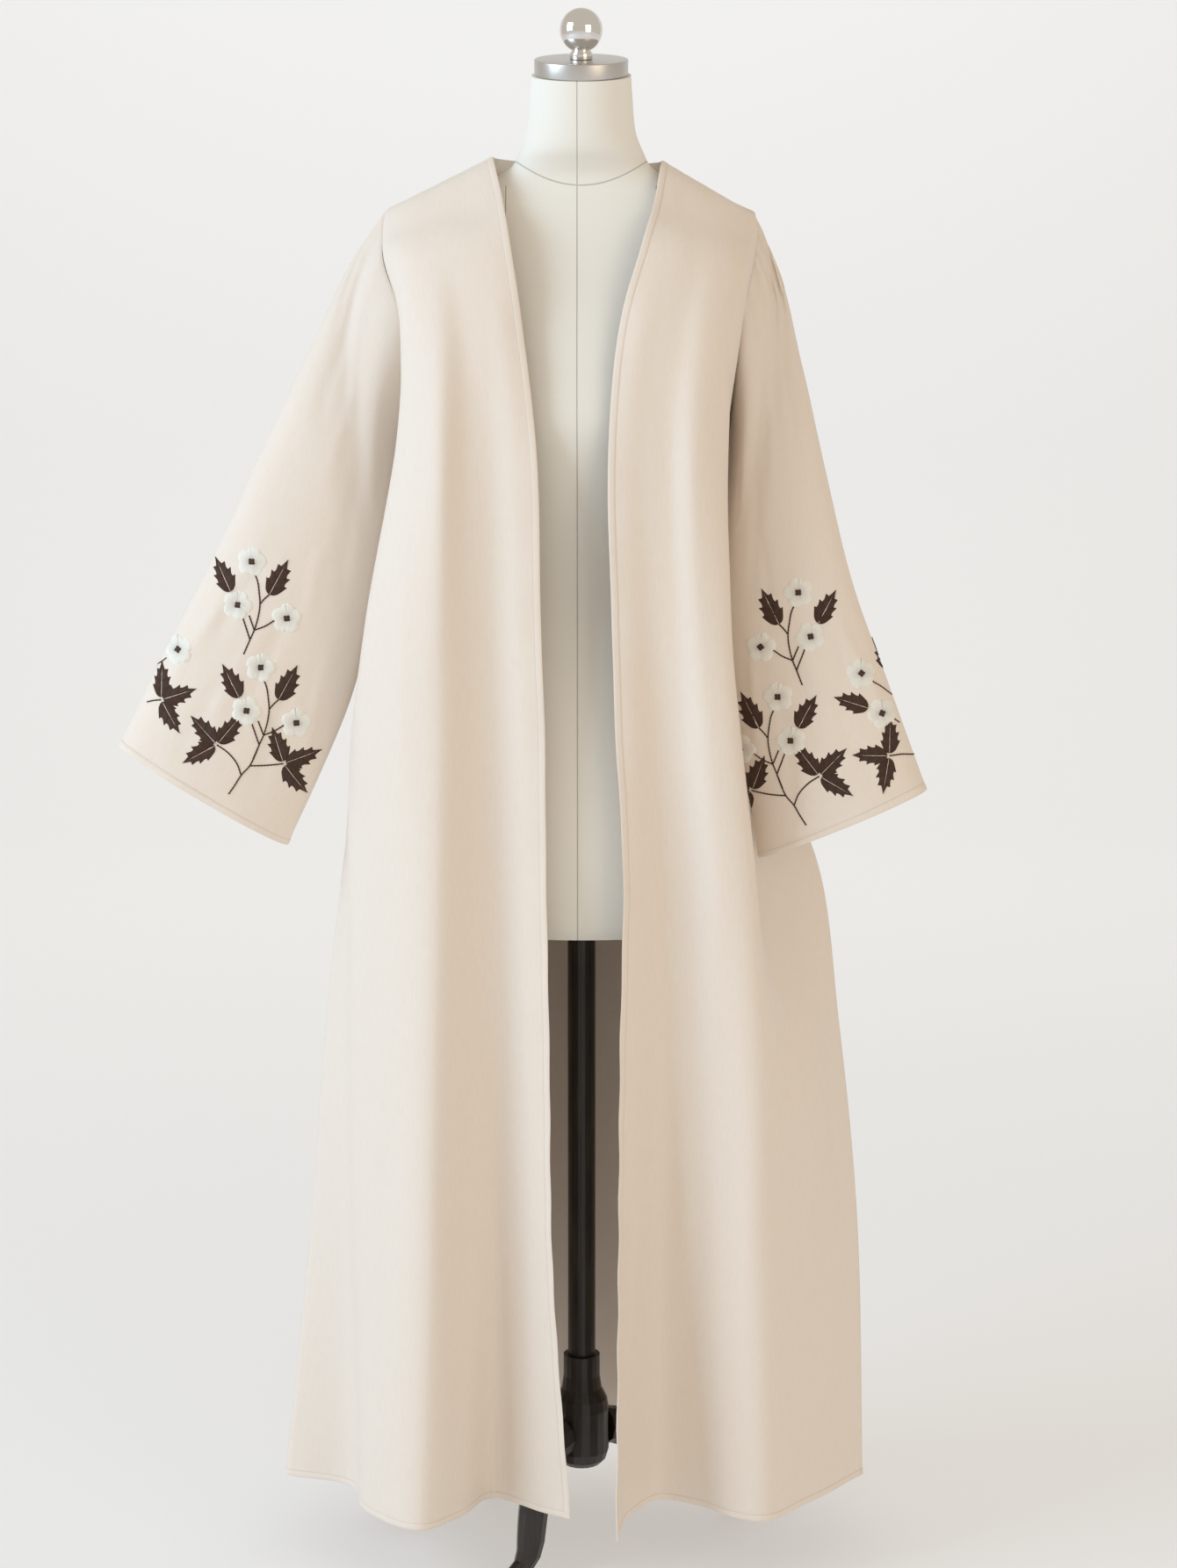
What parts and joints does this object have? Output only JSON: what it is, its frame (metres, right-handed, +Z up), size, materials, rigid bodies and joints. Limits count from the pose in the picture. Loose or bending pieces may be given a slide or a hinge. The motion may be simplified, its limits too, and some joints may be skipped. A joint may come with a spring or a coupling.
{
  "type": "open-front abaya cloak on a dress form",
  "caption": "Long open-front cloak with wide sleeves, hanging on a limbless dress form with a metal neck cap, a ball finial and a low legged stand.",
  "frame": {"origin": "centre of the bounding box at the floor", "axes": "+Z up, +Y from the front to the back, so the open front faces -Y; +X to the viewer's right"},
  "size_m": [0.852, 0.4224, 1.679],
  "materials": {
    "cloth": "smooth woven, light sheen",
    "canvas": "matte canvas",
    "cap_steel": "brushed",
    "ball_steel": "polished",
    "stand_dark": "dark satin"
  },
  "bodies": {
    "root": {"front_left": "cloth", "front_right": "cloth", "back": "cloth", "sleeve_left": "cloth", "sleeve_right": "cloth", "form_torso": "canvas", "neck_cap": "cap_steel", "finial": "ball_steel", "pole": "stand_dark", "hub": "stand_dark", "leg_front": "stand_dark", "leg_back_left": "stand_dark", "leg_back_right": "stand_dark"}
  },
  "joints": []
}
